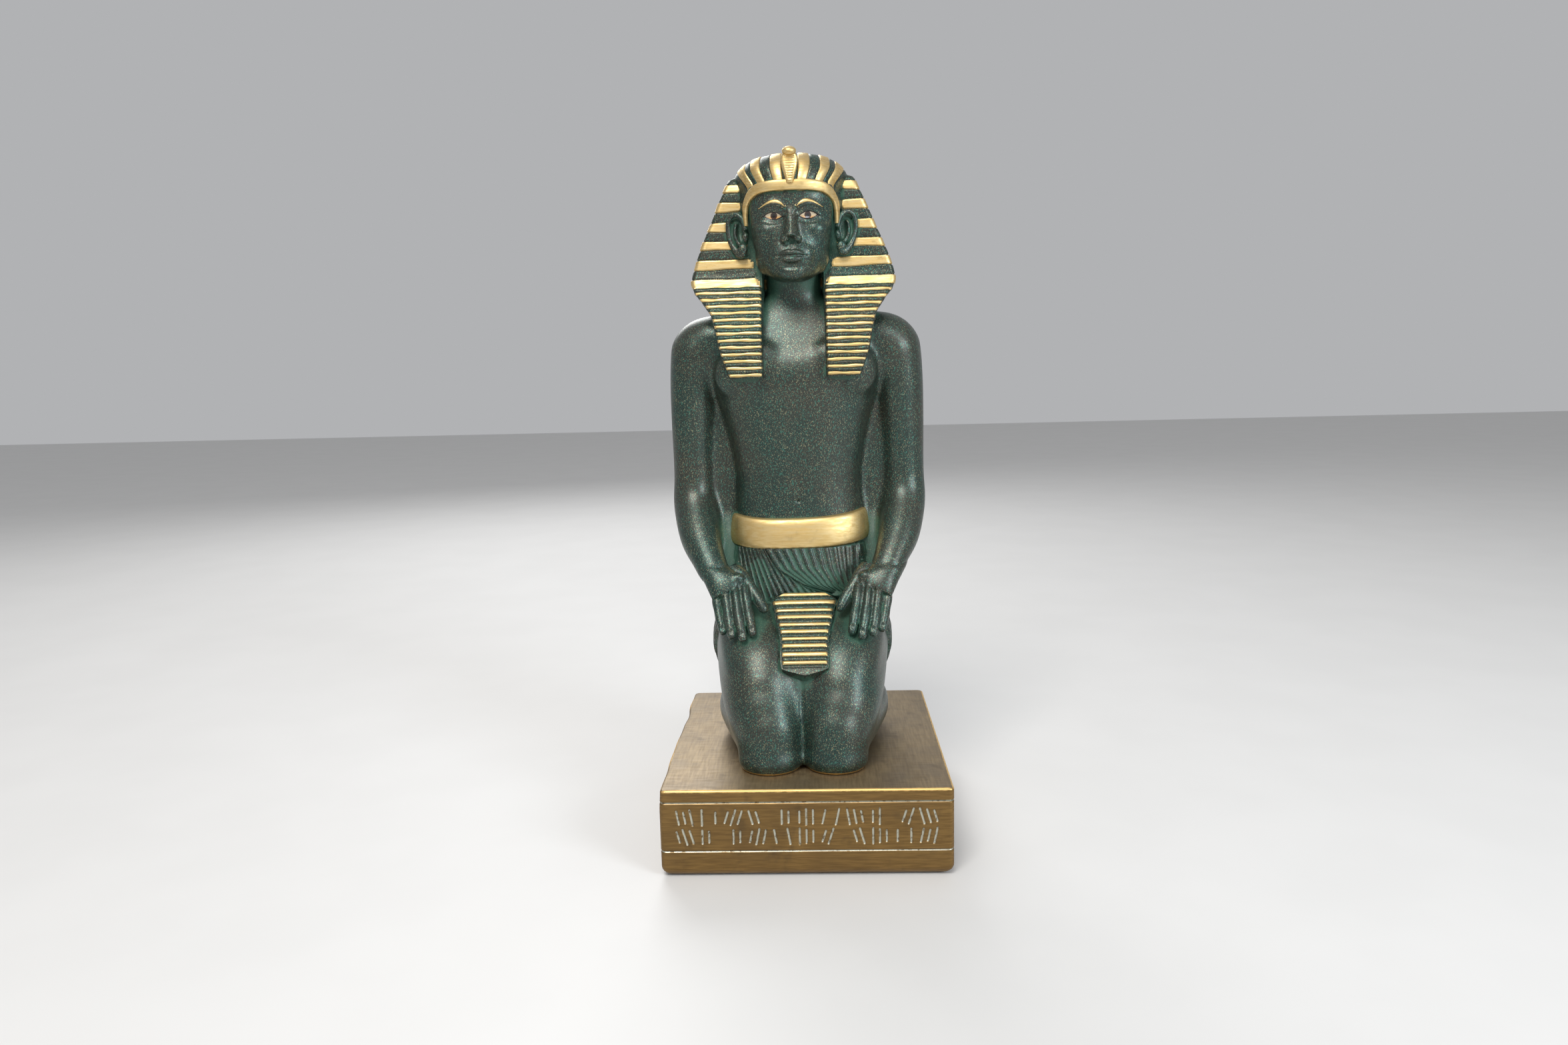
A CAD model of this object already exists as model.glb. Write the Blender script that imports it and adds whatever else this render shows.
import math

import bpy
import numpy as np
from mathutils import Matrix, Vector
from mathutils.bvhtree import BVHTree


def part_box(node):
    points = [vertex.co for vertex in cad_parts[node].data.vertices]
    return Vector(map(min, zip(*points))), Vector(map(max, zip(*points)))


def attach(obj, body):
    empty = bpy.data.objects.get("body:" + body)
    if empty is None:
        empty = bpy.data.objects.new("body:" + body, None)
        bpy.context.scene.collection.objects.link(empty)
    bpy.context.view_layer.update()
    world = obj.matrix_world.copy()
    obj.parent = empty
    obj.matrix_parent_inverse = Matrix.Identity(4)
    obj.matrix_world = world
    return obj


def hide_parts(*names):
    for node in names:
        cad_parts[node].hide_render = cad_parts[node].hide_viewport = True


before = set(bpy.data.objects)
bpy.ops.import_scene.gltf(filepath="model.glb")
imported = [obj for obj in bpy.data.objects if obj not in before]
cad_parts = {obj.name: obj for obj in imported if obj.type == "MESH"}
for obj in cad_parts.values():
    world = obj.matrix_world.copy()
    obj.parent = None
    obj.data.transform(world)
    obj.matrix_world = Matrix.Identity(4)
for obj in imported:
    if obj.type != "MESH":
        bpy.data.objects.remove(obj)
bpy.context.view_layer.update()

# The king is modelled on a grid of millimetres: x to the viewer's right, y to the back,
# z up from the plinth's top.
MM = 0.001
PLINTH_LOW, PLINTH_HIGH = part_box("plinth")
FIGURE_ASIDE = 0.001
FIGURE_LEAN = math.radians(0.25)
SEAT_GAP = 0.0003
FIGURE_PLACE = (
    Matrix.Translation((-FIGURE_ASIDE, 0, PLINTH_HIGH[2] + SEAT_GAP)) @ Matrix.Rotation(-FIGURE_LEAN, 4, "Y")
)
FIGURE_TURN = FIGURE_PLACE.to_3x3()

# Grain of the skins that are laid over the parts, and how many triangles each is thinned to
FLESH_GRAIN, SKIN_GRAIN, WRIST_GRAIN, HAND_GRAIN = 1.1, 0.7, 0.9, 0.3
BONE_GRAIN, HEAD_GRAIN, KILT_GRAIN, COBRA_GRAIN = 0.7, 0.32, 0.6, 0.2
BODY_TRIANGLES, HEAD_TRIANGLES, HAND_TRIANGLES = 165000, 150000, 45000
KILT_TRIANGLES, PLINTH_TRIANGLES = 80000, 120000

# A torso or head station is height, half width, front, back
TORSO = [
    (26, 26, -2, 46), (40, 35, -4, 47), (55, 37, -5, 44), (68, 34, -5.5, 39), (82, 29, -3.5, 34),
    (95, 27.5, -2, 31), (110, 26.2, -1.5, 30), (124, 28, -2.5, 32), (137, 31, -4.5, 34.5),
    (150, 35, -6.5, 36), (160, 37, -5.5, 36), (169, 36.5, -1, 33), (176, 30.5, 2.6, 29.5), (181, 21, 4.6, 28),
    (186, 15, 5.4, 28),
]
SKULL = [
    (191.8, 5, -7.5, 2), (194, 9.3, -9.8, 8), (198, 12.4, -10.4, 12), (203, 14.6, -10.4, 14),
    (209, 16.2, -10.2, 15), (214, 16.9, -9.6, 15), (217, 17.2, -9.2, 15), (220.5, 17.6, -10.2, 15),
    (228, 18, -10, 15), (235, 16.5, -6, 15), (239, 12, 0, 15),
]
# A limb station is the centre of a section, its half width and half thickness
NECK = [(0, 17.5, 176, 15, 12), (0, 16.5, 184, 12.4, 11), (0, 14.5, 196, 11.6, 10.6), (0, 13, 206, 11.5, 11)]
THIGH = [
    (14.4, -34.2, 15.5, 14.4, 14.0), (15.8, -26.5, 23.0, 16.4, 16.8), (16.9, -15, 30.5, 17.7, 19.5),
    (18.2, 0, 38, 18.4, 22), (18.8, 15, 41, 18.8, 22.5), (18, 28, 40, 18, 20),
]
# The upper side of the thigh, broad and level under the hand
LAP = [
    (15.5, -31.7, 27.2, 13, 11), (16.8, -22.5, 38.4, 15.5, 12), (17.8, -11.5, 44.6, 16.8, 12.5),
    (18.5, -1.2, 50.5, 17, 12),
]
CALF = [
    (15, -32, 10, 12.5, 10.2), (18.5, -13, 11.5, 14.5, 11.7), (22, 6, 12.5, 15, 12.7), (21, 22, 12, 13, 12.2),
    (18.5, 36, 13, 8.5, 9),
]
FOOT = [
    (18, 41.5, 27, 7.4, 6.5), (18, 46, 18, 8.2, 6.2), (17.8, 48.6, 8.5, 9.6, 6.4),
    (17.2, 42.5, 4.4, 9.4, 4.4),
]
UPPER_ARM = [
    (41.6, 17, 166.6, 12.0, 12.8), (43.7, 17.5, 154, 10.6, 12.6), (44.8, 18, 135, 9.7, 11.6),
    (45.1, 18.5, 118, 9.3, 10.8), (45.3, 18, 106, 9.2, 10.4),
]
FOREARM = [
    (45.4, 18, 110, 9.1, 9.8), (45.2, 14.5, 99, 9.4, 10), (42.2, 3, 87, 8.8, 8.6), (38, -6, 78.5, 7.2, 6.6),
    (35, -11.5, 73, 6.6, 5),
]
PALM = [(35.2, -11, 73.5, 6.6, 5), (32.2, -14.4, 69.6, 7.3, 4.4), (29.9, -17.2, 65.8, 7.5, 3.1)]
# Fingers run from the knuckle over two joints to the tip
FINGERS = [
    [
        (23.9, -15.4, 68.4, 2.25, 2.4), (23.2, -18.8, 64.7, 2.35, 2.6), (22.4, -21.4, 61.2, 2.0, 2.2),
        (21.6, -23.8, 58.1, 2.15, 2.35), (20.9, -26.0, 55.2, 1.85, 2.0), (20.2, -27.8, 52.3, 1.7, 1.8),
    ],
    [
        (27.8, -15.6, 68.4, 2.25, 2.4), (27.1, -19.2, 64.8, 2.4, 2.7), (26.4, -22.2, 60.8, 2.05, 2.25),
        (25.7, -24.8, 57.2, 2.2, 2.4), (24.9, -27.2, 53.8, 1.9, 2.05), (24.1, -29.0, 50.6, 1.75, 1.85),
    ],
    [
        (31.6, -15.0, 67.8, 2.25, 2.4), (31.1, -18.6, 64.1, 2.35, 2.6), (30.4, -21.4, 60.2, 2.0, 2.2),
        (29.8, -23.8, 56.8, 2.15, 2.35), (29.2, -26.0, 53.8, 1.85, 2.0), (28.6, -27.6, 51.2, 1.7, 1.8),
    ],
    [
        (35.3, -13.4, 66.8, 2.05, 2.2), (35.1, -16.8, 62.9, 2.15, 2.4), (34.5, -19.0, 59.6, 1.85, 2.0),
        (33.8, -21.0, 56.8, 1.95, 2.15), (33.1, -23.0, 54.3, 1.7, 1.85), (32.4, -24.6, 52.1, 1.55, 1.65),
    ],
]
THUMB = [
    (28.5, -8.0, 75.6, 3.6, 3.8), (24.8, -11.2, 71.8, 3.3, 3.5), (21.3, -14.2, 67.8, 2.5, 2.8),
    (18.1, -17.2, 63.5, 2.5, 2.7), (16.0, -19.4, 60.2, 1.95, 2.1),
]
THUMB_WEB = (26.4, -13.6, 70.5, 3.6, 2.8, 4.6, 40)
# How far each hand is moved to the viewer's right
HAND_ASIDE = {-1: 0.9, 1: 0.4}
HAND_TOP = 80.0
# A mass is a centre and three radii, with a tilt about the X axis in degrees
KNEE = (13.5, -35.8, 14, 13.9, 12.0, 14.5, -12)
SHIN_HEAD = (13.0, -36.8, 4, 13.4, 12.8, 8.5, 0)
DELTOID = (41.2, 17, 163.6, 12.5, 13.4, 14.0, 0)
BREAST = (17.5, 0.6, 155, 17, 6.4, 14, 12)
BUTTOCK = (18, 32, 35, 16, 14, 15, 0)
SHOULDER_SLOPE = (33, 17, 170, 18, 13.5, 10.5, 0)
CALF_FILL = (0, 20, 16, 22, 30, 15, 0)
CLEFT = [
    (-1, 4, -34, 0), (10, 4, -39.5, 0), (20, 4, -40.2, 0), (28, 5, -38.2, 0), (36, 7, -35.4, 0),
    (47, 7, -28, 0), (54, 7, -18.5, 0), (60, 6, -8, 0),
]
NAVEL = (0, -2.4, 102)
NIPPLE = (21.5, -5.6, 150)
BELLY_LINE = [(0, -2, 108), (0, -5, 146)]
COLLARBONE = [(8, -1, 176), (30, 4, 175.5)]
BREAST_FOLD = [(4, -7, 143.5), (20, -5.4, 141), (33, 2, 147)]
# Web of resin left between arm and flank: height, inner edge, outer edge, front
WEB = [(60, 20, 35, -1.4), (85, 20, 40.6, 7.6), (100, 20, 44, 13), (130, 20, 44, 13), (160, 20, 44, 13)]
WEB_BACK = 22

KILT_THIGH = [
    (16.9, -15, 30.2, 16.9, 18.4), (17.7, -7, 34.8, 18.3, 21), (18.4, 2, 38.6, 19.3, 22.9),
    (19, 12, 41, 19.8, 23.6), (18.4, 28, 40.5, 19, 21.2),
]
KILT_SEAT = (18.4, 33.4, 35.5, 18.6, 16.0, 16.4, 0)
KILT_HIPS = [
    (26, 27, 2, 48.5), (40, 36, -2, 49), (55, 37.6, -5.6, 45.6), (68, 34.6, -6.6, 40.4), (83, 29.6, -4.4, 35),
]
BELT = [
    (81.4, 28.6, -3.4, 33.8), (82.0, 30.0, -5.0, 35.4), (83.2, 30.6, -5.7, 36.2), (85.5, 30.6, -5.7, 36),
    (88, 30.2, -5.5, 35.6), (90.5, 29.8, -5.1, 35.2), (93, 29.2, -4.6, 34.6), (94.4, 28.4, -3.8, 33.8),
    (94.9, 27.0, -2.4, 32.2),
]
# The hem: height, and how far back it lies
KILT_HEM = [(0, 18), (20, 13), (36, 6), (48, -1), (55, -9), (62, -14), (66, -30)]
FLAP_PLEATS, FLAP_TOP, FLAP_FOOT = 12, 82.5, 58
CROSSING_X = [(0, -15.2), (0.35, -10.0), (0.7, 0.2), (1, 17.6)]
CROSSING_Z = [(0, 82.5), (0.35, 74.1), (0.7, 68.0), (1, 62.5)]
APRON_ASIDE = 1.5
# One station where each rib starts, and one at the foot
APRON = [
    (9.2, -8.6, 64.25), (13.5, -11.6, 61.8), (12.5, -15.4, 59.1), (12.2, -18.2, 57.1), (11.3, -21.6, 54.65),
    (10.6, -24.4, 52.5), (10.1, -27.2, 50.1), (9.7, -29.4, 48.0), (9.8, -32.2, 45.3), (9.7, -34.8, 42.4),
    (9.3, -36.7, 39.8),
]
APRON_POINT = [(7.2, -37.3, 39.1), (3.4, -38.0, 38.2), (0.5, -38.4, 37.5)]

# Headdress: height, half width, front, back
HOOD = [
    (168, 9, 24, 37), (176, 15, 21, 37.5), (183, 27, 14, 37.5), (188, 38.6, 5.4, 38), (190.4, 41.4, 2.9, 38),
    (193, 42, 3.6, 38), (196.6, 41.2, 4.6, 38), (202, 39.4, 5.0, 40), (209.5, 36.5, 5.6, 41.5),
    (217.6, 32.9, 6.0, 41.5), (225.5, 29.3, 6.2, 40), (230.5, 27.1, 6.6, 38), (232.6, 26.3, 7.2, 36.6),
    (234.4, 25.2, 8.6, 35), (235.8, 22.4, 12, 31),
]
# A lappet station is height, inner edge, outer edge, front
LAPPET = [
    (153.4, 12.8, 26.4, -9.4), (156, 12.7, 27.6, -10.1), (164, 12.6, 30.4, -9.6), (172, 12.6, 32, -7.4),
    (179, 12.6, 33.8, -4), (184.4, 12.5, 37.4, -0.8), (188, 12.5, 40.5, 1.6), (191, 12.4, 41.6, 2.9),
]
LAPPET_BACK = [(153, 20), (174, 20), (181, 12), (186, 8), (191, 8.5)]
TAIL = [(0, 37, 198, 9, 5), (0, 37.5, 182, 7.5, 4.4), (0, 37.2, 168, 6.4, 3.6), (0, 36.8, 156, 5.6, 3.2)]
DOME_CENTRE = (0, 13, 220.5)
DOME_RADII = (25.5, 24.4, 22.7)
DOME_FLAT, DOME_SQUARE = 2.0, 3.15
DOME_FOOT, DOME_SIDE_FOOT = 227.5, 221

FOREHEAD_BAND = [
    (0, -11.1, 228.4, 2.1, 1.1), (8, -10.1, 228.3, 2.1, 1.1), (14, -6.9, 227.2, 2.0, 1.1),
    (17.6, -2.4, 223.6, 1.6, 1.0), (18.5, -0.4, 219, 1.2, 0.9), (18.4, 0.2, 214.6, 0.8, 0.7),
]
BAND_CENTRE, EAR_CENTRE = 12, 40
EAR_RIM = [
    (18.6, 0.6, 213, 1.0, 0.9), (20, 1.8, 217.6, 1.1, 1.0), (23, 3.0, 219.6, 1.1, 1.1),
    (25.6, 4.0, 217.6, 1.1, 1.1), (26.0, 4.4, 212.6, 1.1, 1.1), (24.6, 3.8, 207.6, 1.2, 1.1),
    (21.8, 2.4, 203.8, 1.7, 1.2), (19.2, 1.2, 204.4, 1.5, 1.1),
]
EAR_BOWL = (21.8, 5.6, 211.6, 4.0, 2.0, 7.4, 0)
EAR_FOLD = [
    (22.6, 3.6, 216.2, 0.7, 0.7), (23.3, 3.4, 212.4, 0.9, 0.8), (22.0, 3.0, 208.4, 0.8, 0.8),
    (20.2, 2.0, 206.8, 0.7, 0.7),
]
EAR_FLAP = (18.8, 0.8, 210.2, 1.2, 1.5, 2.0, 0)
EAR_LOBE = (20.0, 1.6, 205.6, 2.0, 1.3, 2.4, 0)
COBRA = [
    (0, -12.0, 229, 1.3, 1.0), (0, -12.4, 231.6, 2.0, 1.1), (0, -12.3, 235, 3.0, 1.2),
    (0, -11.8, 238.4, 3.3, 1.3), (0, -11.5, 240.4, 2.4, 1.5),
]
COBRA_HEAD = (0, -12.4, 240.9, 2.8, 2.9, 1.8, 10)
COBRA_BODY = [
    (0, -9, 237.6, 1.3, 1.2), (0, -3, 242.0, 1.3, 1.2), (0, 6, 243.0, 1.2, 1.1), (0, 15, 242.2, 0.9, 0.9),
]

# Face, laid out in thirds of the height from chin to hairline
CHIN_HEIGHT, FACE_THIRD = 191.8, 14.1
NOSE_BASE = CHIN_HEIGHT + FACE_THIRD
BROW_HEIGHT = NOSE_BASE + FACE_THIRD
EYE_HEIGHT = BROW_HEIGHT - 0.21 * FACE_THIRD
MOUTH_HEIGHT = NOSE_BASE - 0.34 * FACE_THIRD
EYE_APART = 7.0
EYE_HALF, EYE_OPEN = 3.7, 1.55

# Bands round the hood, ribs across the lappets, stripes along the dome and ribs down the apron
BAND_FOOT, BAND_PITCH, GOLD_BAND, GROOVE = 190.6, 7.62, 3.45, 0.45
RIB_FOOT, RIB_PITCH, GOLD_RIB = 154.0, 2.8, 1.35
DOME_GOLD = [(2.9, 6.9), (11.2, 15.2), (18.0, 21.6)]
APRON_RIBS = 10

LIMB_CAP_ROWS = 6
FACE_OUT = (bpy.ops.mesh.normals_make_consistent, {"inside": False})


def deselect():
    bpy.ops.object.select_all(action="DESELECT")


def select(*pieces):
    deselect()
    for piece in pieces:
        piece.select_set(True)
    bpy.context.view_layer.objects.active = pieces[0]


def spots_of(piece):
    flat = np.empty(len(piece.data.vertices) * 3)
    piece.data.vertices.foreach_get("co", flat)
    return flat.reshape(-1, 3) / MM


def normals_of(piece):
    flat = np.empty(len(piece.data.vertices) * 3)
    piece.data.vertices.foreach_get("normal", flat)
    return flat.reshape(-1, 3)


def put(piece, spots):
    piece.data.vertices.foreach_set("co", (spots * MM).ravel())
    piece.data.update()


def paint(piece, name, values):
    """A value at each point, for a material to read."""
    layer = piece.data.attributes.get(name) or piece.data.attributes.new(name, "FLOAT", "POINT")
    layer.data.foreach_set("value", np.asarray(values, float))


def painted(piece, name):
    values = np.empty(len(piece.data.vertices))
    piece.data.attributes[name].data.foreach_get("value", values)
    return values


def smoothstep(low, high, value):
    share = np.clip((value - low) / (high - low), 0, 1)
    return share * share * (3 - 2 * share)


def unit(vectors):
    return vectors / np.maximum(np.linalg.norm(vectors, axis=-1, keepdims=True), 1e-9)


def through(stations, share):
    """Points of a smooth curve through the stations, at shares of the way along it."""
    rows = np.array(stations, float)
    ends = np.vstack([2 * rows[0] - rows[1], rows, 2 * rows[-1] - rows[-2]])
    place = np.clip(share, 0, 1) * (len(rows) - 1)
    first = np.minimum(place.astype(int), len(rows) - 2)
    t = (place - first)[:, None]
    a, b, c, d = (ends[first + i] for i in range(4))
    return 0.5 * (2 * b + (c - a) * t + (2 * a - 5 * b + 4 * c - d) * t**2 + (3 * b - a - 3 * c + d) * t**3)


def at_height(stations, heights):
    """The other columns of stations that start with a height, at the given heights."""
    rows = np.array(stations, float)
    return [np.interp(heights, rows[:, 0], rows[:, i]) for i in range(1, rows.shape[1])]


def round_section(share, power):
    angle = 2 * math.pi * share
    c, s = np.cos(angle), np.sin(angle)
    return np.sign(c) * np.abs(c) ** (2 / power), np.sign(s) * np.abs(s) ** (2 / power)


def edit_all(piece, *steps):
    """Edit-mode operators, each with its settings, that act on the whole of a piece."""
    select(piece)
    bpy.ops.object.mode_set(mode="EDIT")
    bpy.ops.mesh.select_all(action="SELECT")
    for operator, settings in steps:
        operator(**settings)
    bpy.ops.object.mode_set(mode="OBJECT")


def wrapped(name, rows, sides, place):
    """A sheet rolled into a closed form: `place` puts each row and side, and both ends are drawn shut."""
    deselect()
    bpy.ops.mesh.primitive_grid_add(x_subdivisions=sides, y_subdivisions=rows + 1, size=2)
    piece = bpy.context.active_object
    piece.name = name
    sheet = spots_of(piece) * MM
    level = np.rint((sheet[:, 1] + 1) / 2 * (rows + 1)).astype(int)
    turn = np.rint((sheet[:, 0] + 1) / 2 * sides).astype(int) % sides
    row = np.clip(level, 1, rows) - 1
    spots = place(row, turn)
    for pole, ring in ((0, 1), (rows + 1, rows)):
        spots[level == pole] = spots[level == ring].mean(axis=0)
    put(piece, spots)
    paint(piece, "row", row)
    paint(piece, "turn", turn)
    edit_all(piece, (bpy.ops.mesh.remove_doubles, {"threshold": 1e-7}), FACE_OUT)
    row, turn = (np.rint(painted(piece, key)).astype(int) for key in ("row", "turn"))
    for key in ("row", "turn"):
        piece.data.attributes.remove(piece.data.attributes[key])
    return piece, row, turn


def limb(stations, side=1, power=2.1, outward=None, rows=44, sides=32, name="limb"):
    """A round-ended limb along its stations; a strap faces away from an upright line at its outward depth."""
    def place(row, turn):
        middle = rows - 1 - 2 * LIMB_CAP_ROWS
        share = (row - LIMB_CAP_ROWS) / middle
        over = np.clip(row - LIMB_CAP_ROWS - middle, 0, None) - np.clip(LIMB_CAP_ROWS - row, 0, None)
        bend = over / (LIMB_CAP_ROWS + 0.5) * math.pi / 2
        station = through(stations, share)
        centre = station[:, :3]
        step = 0.5 / middle
        along = unit((through(stations, share + step) - through(stations, share - step))[:, :3])
        if outward is None:
            wide = unit(np.array([1.0, 0, 0]) - along * along[:, :1])
            deep = np.cross(along, wide)
        else:
            deep = unit((centre - [0, outward, 0]) * [1, 1, 0])
            wide = unit(np.cross(along, deep))
        across, through_it = round_section(turn / sides, power)
        shrink = np.cos(bend)
        reach = np.sin(bend) * np.minimum(station[:, 3], station[:, 4])
        spots = centre + along * reach[:, None]
        spots += wide * (station[:, 3] * across * shrink)[:, None]
        spots += deep * (station[:, 4] * through_it * shrink)[:, None]
        return spots * [side, 1, 1]

    return wrapped(name, rows, sides, place)[0]


def stack(stations, power=2.3, rows=60, sides=64, name="stack"):
    """A form stacked from level sections, each a height, half width, front and back."""
    def place(row, turn):
        z, half, front, back = through(stations, row / (rows - 1)).T
        across, deep = round_section(turn / sides, power)
        return np.column_stack([half * across, (front + back) / 2 + (back - front) / 2 * deep, z])

    return wrapped(name, rows, sides, place)[0]


def ball(mass, side=1, name="mass"):
    x, y, z, rx, ry, rz, tilt = mass
    deselect()
    bpy.ops.mesh.primitive_uv_sphere_add(
        segments=32, ring_count=20, radius=MM, location=(side * x * MM, y * MM, z * MM),
        rotation=(math.radians(tilt), 0, 0), scale=(rx, ry, rz),
    )
    bpy.ops.object.transform_apply()
    bpy.context.active_object.name = name
    return bpy.context.active_object


def web(side):
    def place(row, turn):
        height, inner, outer, front = through(WEB, row / 11).T
        x = np.where((turn == 1) | (turn == 2), outer, inner)
        y = np.where(turn < 2, front, WEB_BACK)
        return np.column_stack([side * x, y, height])

    return wrapped("web", 12, 4, place)[0]


def apply(piece, kind, **settings):
    """A modifier put on the piece with its settings and applied."""
    select(piece)
    modifier = piece.modifiers.new(kind, kind)
    for key, value in settings.items():
        setattr(modifier, key, value)
    bpy.ops.object.modifier_apply(modifier=modifier.name)


def blend(name, parts, voxel, passes):
    """All the parts under one closed skin, worn smooth."""
    select(*parts)
    if len(parts) > 1:
        bpy.ops.object.join()
    piece = bpy.context.active_object
    piece.name = name
    edit_all(piece, FACE_OUT)
    apply(piece, "REMESH", mode="VOXEL", voxel_size=voxel * MM)
    if passes:
        apply(piece, "SMOOTH", factor=0.5, iterations=passes)
    return piece


def thin_to(piece, triangles):
    piece.data.calc_loop_triangles()
    now = len(piece.data.loop_triangles)
    if now > triangles:
        apply(piece, "DECIMATE", ratio=triangles / now)


def path_distance(spots, path):
    """How far each point is from a line through the path's points."""
    best = np.full(len(spots), np.inf)
    for a, b in zip(path, path[1:]):
        a, b = np.array(a, float), np.array(b, float)
        t = np.clip(((spots - a) @ (b - a)) / ((b - a) @ (b - a)), 0, 1)
        best = np.minimum(best, np.linalg.norm(spots - a - t[:, None] * (b - a), axis=1))
    return best


def mirrored(path, side):
    return [(side * x, y, z) for x, y, z in path]


def dab(spots, centre, radii, push):
    """Sculpting: the points in an egg-shaped reach are moved, most at its centre."""
    away = (spots - centre) / radii
    share = np.clip(1 - (away**2).sum(axis=1), 0, 1) ** 2
    spots += share[:, None] * np.array(push, float)


def score(spots, normals, path, width, depth):
    """Sculpting: a soft groove along a path, or a ridge where the depth is negative."""
    near = path_distance(spots, path)
    spots -= normals * (depth * np.exp(-((near / width) ** 2)))[:, None]


# Body
def soften(flesh):
    """Thighs run into knees and arms into shoulders without a seam; the cleft between the knees stays."""
    x, y, z = spots_of(flesh).T
    off_cleft = np.maximum(smoothstep(4, 8, np.abs(x)), smoothstep(16, 30, z))
    lap = off_cleft * smoothstep(2, -8, y) * smoothstep(72, 60, z) * smoothstep(3, 9, z)
    shoulder = smoothstep(24, 32, np.abs(x)) * smoothstep(146, 158, z)
    share = np.round(np.maximum(lap, shoulder), 1)
    group = flesh.vertex_groups.new(name="soft")
    for level in np.unique(share[share > 0]):
        group.add(np.flatnonzero(share == level).tolist(), float(level), "REPLACE")
    apply(flesh, "SMOOTH", factor=0.5, iterations=40, vertex_group="soft")


def body_piece():
    parts = [stack(TORSO), limb(NECK)]
    hidden_palm = [(x, y + 0.8, z, w - 0.7, d - 0.7) for x, y, z, w, d in PALM]
    limbs = (THIGH, LAP, CALF, FOOT, UPPER_ARM, FOREARM, hidden_palm)
    masses = (KNEE, SHIN_HEAD, BREAST, BUTTOCK, SHOULDER_SLOPE, DELTOID)
    for side in (-1, 1):
        parts += [limb(stations, side) for stations in limbs]
        parts += [ball(mass, side) for mass in masses]
        parts.append(web(side))
    parts += [ball(CALF_FILL), stack(CLEFT)]
    flesh = blend("flesh", parts, FLESH_GRAIN, 20)
    soften(flesh)
    apply(flesh, "SUBSURF", levels=1, render_levels=1)
    piece = blend("body", [flesh], SKIN_GRAIN, 2)
    sculpt_body(piece)
    thin_to(piece, BODY_TRIANGLES)
    return piece


def with_tip(finger):
    """The finger's stations and one more, where its end rounds off."""
    before, last = np.array(finger[-2]), np.array(finger[-1])
    centre = last[:3] + 0.4 * (last - before)[:3]
    return [*finger, (*centre, *(0.6 * last[3:]))]


def hand_piece(side):
    """A hand laid on the thigh, whose skin slips under that of the forearm above the wrist."""
    arm = blend("wrist", [limb(FOREARM, side), limb(PALM, side), ball(THUMB_WEB, side)], WRIST_GRAIN, 8)
    parts = [arm] + [limb(with_tip(finger), side, sides=24) for finger in FINGERS + [THUMB]]
    piece = blend("hand_" + ("left" if side < 0 else "right"), parts, HAND_GRAIN, 5)
    cut = {"plane_co": (0, 0, HAND_TOP * MM), "plane_no": (0, 0, 1), "clear_outer": True, "use_fill": True}
    edit_all(piece, (bpy.ops.mesh.bisect, cut))
    spots, normals = spots_of(piece), normals_of(piece)
    # Nails, and the hollows between the knuckles
    for finger in FINGERS:
        before, tip = np.array(finger[-2][:3]), np.array(finger[-1][:3])
        nail = tip * 0.75 + before * 0.25 + [0, -1.2, 1.2]
        dab(spots, nail * [side, 1, 1], (1.2, 1.3, 1.9), (0, 0.32, -0.32))
    for a, b in zip(FINGERS, FINGERS[1:]):
        gap = [
            [(p[0] + q[0]) / 2 * side, (p[1] + q[1]) / 2 - 1.6, (p[2] + q[2]) / 2 + 1.6]
            for p, q in zip(a[:3], b[:3])
        ]
        score(spots, normals, gap, 0.9, 0.45)
    tuck = smoothstep(HAND_TOP - 5.5, HAND_TOP - 1, spots[:, 2])
    spots -= normals * (1.0 * tuck)[:, None]
    spots[:, 0] += HAND_ASIDE[side] * (1 - tuck)
    put(piece, spots)
    thin_to(piece, HAND_TRIANGLES)
    return piece


def sculpt_body(piece):
    spots = spots_of(piece)
    normals = normals_of(piece)
    dab(spots, NAVEL, (1.5, 3, 1.2), (0, 1.6, 0))
    score(spots, normals, BELLY_LINE, 3.0, 0.28)
    # The crease between the thighs, deepest between the knees
    x, y, z = spots.T
    crease = 0.7 * np.exp(-((x / 0.8) ** 2)) * smoothstep(48, 40, z) * smoothstep(10, 16, z)
    crease += 1.6 * np.exp(-((x / 3.6) ** 2)) * smoothstep(46, 26, z) * smoothstep(8, 18, z)
    spots[:, 1] += crease * (y < -22)
    for side in (-1, 1):
        dab(spots, mirrored([NIPPLE], side)[0], (2.2, 4, 2.2), (0, -0.7, 0))
        score(spots, normals, mirrored(COLLARBONE, side), 2.4, -0.35)
        score(spots, normals, mirrored(BREAST_FOLD, side), 3.2, 0.4)
    spots[:, 2] = np.maximum(spots[:, 2], 0)
    put(piece, spots)
    paint(piece, "joint", smoothstep(1.1, 0.6, spots[:, 2]))


# Head
def strap_across(stations, side=1):
    """A thin limb that runs from left to right."""
    rows, sides = 40, 14

    def place(row, turn):
        share = row / (rows - 1)
        station = through(stations, share)
        along = unit((through(stations, share + 0.01) - through(stations, share - 0.01))[:, :3])
        up = unit(np.cross(along, np.array([0, -1.0, 0])))
        out = np.cross(up, along)
        c, s = round_section(turn / sides, 2)
        close = np.sqrt(np.clip(1 - (2 * share - 1) ** 12, 0, 1))
        spots = station[:, :3] + up * (station[:, 3] * c * close)[:, None]
        spots += out * (station[:, 4] * s * close)[:, None]
        return spots * [side, 1, 1]

    return wrapped("strap", rows, sides, place)[0]


def lid_edge(across, way):
    """How far the upper or lower lid's edge is above the eye's middle."""
    across = np.clip(across / EYE_HALF, -1.6, 1.6)
    lift = EYE_OPEN if way > 0 else -0.8 * EYE_OPEN
    return lift * (1 - np.abs(across) ** 2.2) + 0.25 * across


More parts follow.
